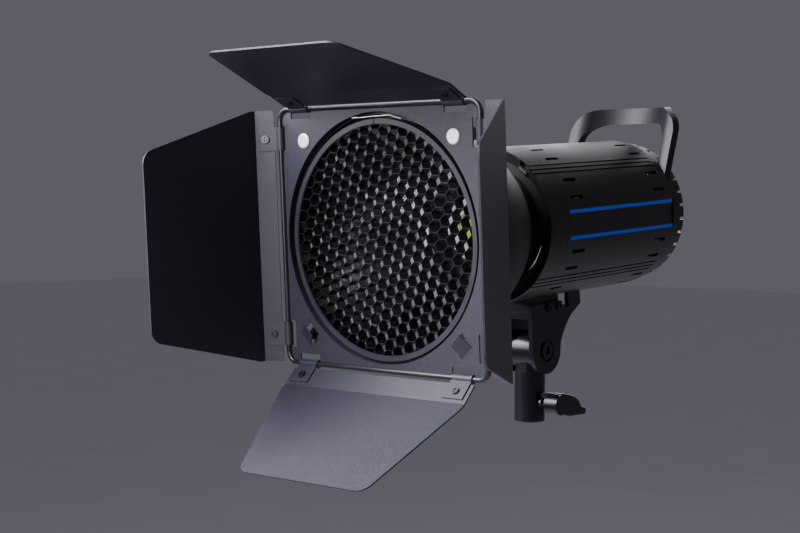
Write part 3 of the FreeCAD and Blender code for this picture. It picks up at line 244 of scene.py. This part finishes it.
def metal(name, colour, rough):
    """Plated or bare metal with fine lines square to Y."""
    made = Shader(name, colour, rough, 1.0)
    lines = made.noise(1.0, 3.0, 0.6, made.stretched(BRUSH_STRETCH))
    slow = made.noise(30, 3.0)
    made.rough(made.spread(lines, rough - 0.06, rough + 0.10))
    made.colour(made.mix(made.spread(slow, 0, 0.35), colour, scaled(colour, 0.75)))
    made.bump(lines, BRUSH_STRENGTH, FINE_GRAIN)
    return made.material


def dish_finish():
    """Hammered bright metal in the cone of the dish; satin black paint outside, and black on its
    lip near the mouth as painted shade in the gap behind the grid ring.
    """
    made = Shader("dish_finish", (0.9, 0.9, 0.92), 0.4, 1.0)
    from_centre = made.vectors("SUBTRACT", made.where, LAMP_CENTRE)
    across = made.vectors("MULTIPLY", from_centre, (1, 0, 1))
    outward = made.vectors("DOT_PRODUCT", across, made.facing)
    depth = made.vectors("DOT_PRODUCT", from_centre, LAMP_BACK)
    inward = made.spread(outward, 1, 0, -INWARD_BLEND, INWARD_BLEND)
    # Zero on the lip near the mouth, which takes the painted shade below.
    behind_shaded_lip = made.spread(depth, 0, 1, SHADED_LIP_DEPTH, SHADED_LIP_DEPTH + SHADED_LIP_BLEND)
    bright = made.times(inward, behind_shaded_lip)
    # The dark colour is black paint on the outside, and painted shade on the lip near the mouth.
    made.colour(made.mix(bright, (0.008, 0.008, 0.009), (0.93, 0.93, 0.95)))
    made.rough(made.spread(bright, 0.46, 0.26, 0, 1))
    made.metallic(bright)
    made.bump(made.times(made.cells(210, "SMOOTH_F1"), bright), 0.5, DIMPLES)
    return made.material


def cell_foil():
    """Bare foil on the cell walls, with dull dark cut edges at the front."""
    made = Shader("cell_foil", (0.20, 0.20, 0.22), 0.24, 0.9)
    ahead = made.vectors("DOT_PRODUCT", made.facing, LAMP_AHEAD)
    edge = made.spread(ahead, 0, 1, 0.6, 0.9)
    slow = made.noise(60, 3.0)
    foil = made.mix(made.spread(slow, 0, 1), (0.022, 0.022, 0.026), (0.07, 0.07, 0.078))
    made.colour(made.mix(edge, foil, (0.035, 0.035, 0.042)))
    made.rough(made.spread(edge, 0.2, 0.55, 0, 1))
    made.bump(made.noise(420, 2.0), 0.12, WAVES)
    return made.material


def board_green():
    """Solder mask over a net of tracks."""
    made = Shader("board_green", (0.012, 0.09, 0.035), 0.35)
    tracks = made.spread(made.cells(220, "DISTANCE_TO_EDGE"), 0, 1, 0.02, 0.06)
    made.colour(made.mix(tracks, (0.03, 0.16, 0.06), (0.01, 0.07, 0.028)))
    return made.material


def phosphor():
    """Lime phosphor under clear silicone."""
    made = Shader("phosphor", (0.62, 0.72, 0.06), 0.3)
    slow = made.noise(300, 2.0)
    made.colour(made.mix(made.spread(slow, 0, 1), (0.62, 0.74, 0.06), (0.55, 0.64, 0.04)))
    made.bump(slow, 0.15, 0.0001)
    made.coat(0.8, 0.05)
    return made.material


def dark_window():
    """Smoked display window, unlit."""
    made = Shader("dark_window", (0.004, 0.006, 0.008), 0.06)
    made.rough(made.spread(made.noise(60, 2.0), 0.04, 0.1))
    made.coat(1.0, 0.03)
    return made.material


MATERIALS = {
    "black_powder_coat": powder_coat(
        "door_coat", (0.011, 0.0105, 0.018), (0.021, 0.020, 0.032), 0.44),
    "black_satin": moulded(
        "satin_black", (0.009, 0.009, 0.013), (0.013, 0.013, 0.018), 0.32, 1800, 0.12),
    "black_plastic": moulded(
        "moulded_black", (0.006, 0.006, 0.007), (0.011, 0.011, 0.012), 0.40),
    "gloss_black": glossy("gloss_black", (0.007, 0.007, 0.009), 0.30, 0.1),
    "blue_trim": glossy("blue_trim", (0.003, 0.14, 0.95), 0.30, 0.2),
    "grey_ring": moulded("ring_grey", (0.017, 0.017, 0.024), (0.026, 0.026, 0.035), 0.40),
    "honeycomb": cell_foil(),
    "mirror_dish": dish_finish(),
    "steel": metal("zinc_steel", (0.78, 0.79, 0.82), 0.28),
    "bright_steel": metal("bright_nickel", (0.95, 0.95, 0.97), 0.5),
    "aluminium": metal("aluminium", (0.62, 0.62, 0.65), 0.3),
    "black_anodised": moulded(
        "black_anodised", (0.010, 0.010, 0.012), (0.016, 0.016, 0.018), 0.38),
    "pcb": board_green(),
    "phosphor": phosphor(),
    "display": dark_window(),
    "white_plastic": moulded("white_plastic", (0.62, 0.62, 0.6), (0.7, 0.7, 0.68), 0.4),
}
SLOT_OF = {row["node"]: row["material_slot"] for row in frame["record"]["subparts"]}

# Nodes whose finish differs from the rest of their slot.
OWN_FINISH = {
    "handle": moulded(
        "handle_satin", (0.007, 0.007, 0.010), (0.011, 0.011, 0.014), 0.46, specular=0.3),
}

OWN_BEVEL = {
    "housing_shell": 0.0005, "rear_cap": 0.0005, "front_ring": 0.0005, "yoke_bracket": 0.0005,
    "receiver": 0.0005, "handle": 0.0018, "wing_lever": 0.0007, "barn_door_plate": 0.00022,
    "grid_ring": 0.0003,
}
NO_BEVEL = (
    "honeycomb_core", "hinge_rod", "grid_spring", "fan_rotor", "heat_sink", "driver_board",
    "control_board",
)


def finish_node(name, thing):
    """Gives a CAD node its material, and softens its edges."""
    thing.data.materials.clear()
    thing.data.materials.append(OWN_FINISH.get(name) or MATERIALS[SLOT_OF[name]])
    if name not in NO_BEVEL:
        edge = thing.modifiers.new("edge", "BEVEL")
        edge.width = OWN_BEVEL.get(name, BEVEL_WIDTH)
        edge.segments = BEVEL_SEGMENTS
        edge.limit_method = "ANGLE"
        edge.angle_limit = BEVEL_ANGLE
        edge.use_clamp_overlap = True


# ---------------------------------------------------------------- stage

def add(name, data):
    """An object in the scene that holds the data."""
    thing = bpy.data.objects.new(name, data)
    bpy.context.scene.collection.objects.link(thing)
    return thing


def area_light(name, place, target, size, power, colour):
    data = bpy.data.lights.new(name, "AREA")
    data.shape = "RECTANGLE"
    data.size, data.size_y = size
    data.energy = power
    data.color = colour
    light = add(name, data)
    light.location = place
    aim = Vector(target) - Vector(place)
    light.rotation_euler = aim.to_track_quat("-Z", "Y").to_euler()


def floor():
    """A pale floor below the held-up lamp."""
    mesh = bpy.data.meshes.new("studio_floor")
    build = bmesh.new()
    bmesh.ops.create_grid(build, x_segments=2, y_segments=2, size=FLOOR_GRID_SIZE)
    build.to_mesh(mesh)
    build.free()
    thing = add("studio_floor", mesh)
    thing.location = (0, 0, CAD_BOX[0].z - FLOOR_DROP)
    made = Shader("studio_grey", (0.30, 0.30, 0.31), 0.7)
    made.colour(made.mix(made.spread(made.noise(2.0, 2.0), 0, 1), FLOOR_DARK, FLOOR_LIGHT))
    mesh.materials.append(made.material)


def camera():
    """The camera at its eye point, aimed by azimuth and pitch, with a slight roll."""
    level = Vector((math.cos(AZIMUTH), math.sin(AZIMUTH), 0))
    ahead = Vector((
        -math.sin(AZIMUTH) * math.cos(PITCH),
        math.cos(AZIMUTH) * math.cos(PITCH),
        math.sin(PITCH),
    ))
    rise = level.cross(ahead)
    right = level * math.cos(ROLL) + rise * math.sin(ROLL)
    upward = rise * math.cos(ROLL) - level * math.sin(ROLL)
    data = bpy.data.cameras.new("camera")
    data.sensor_width = SENSOR_MM
    data.lens = LENS_MM
    data.clip_start = CLIP_START
    thing = add("camera", data)
    axes = Matrix((right, upward, -ahead)).transposed().to_4x4()
    thing.matrix_world = Matrix.Translation(EYE) @ axes
    bpy.context.scene.camera = thing


def studio():
    """Dim even surroundings and the soft lights."""
    world = bpy.data.worlds.new("studio")
    world.use_nodes = True
    sky = world.node_tree.nodes["Background"]
    sky.inputs["Color"].default_value = SKY_COLOUR
    sky.inputs["Strength"].default_value = SKY_STRENGTH
    bpy.context.scene.world = world
    for row in LIGHTS:
        area_light(*row)


for node_name, node in NODES.items():
    finish_node(node_name, node)
floor()
camera()
studio()
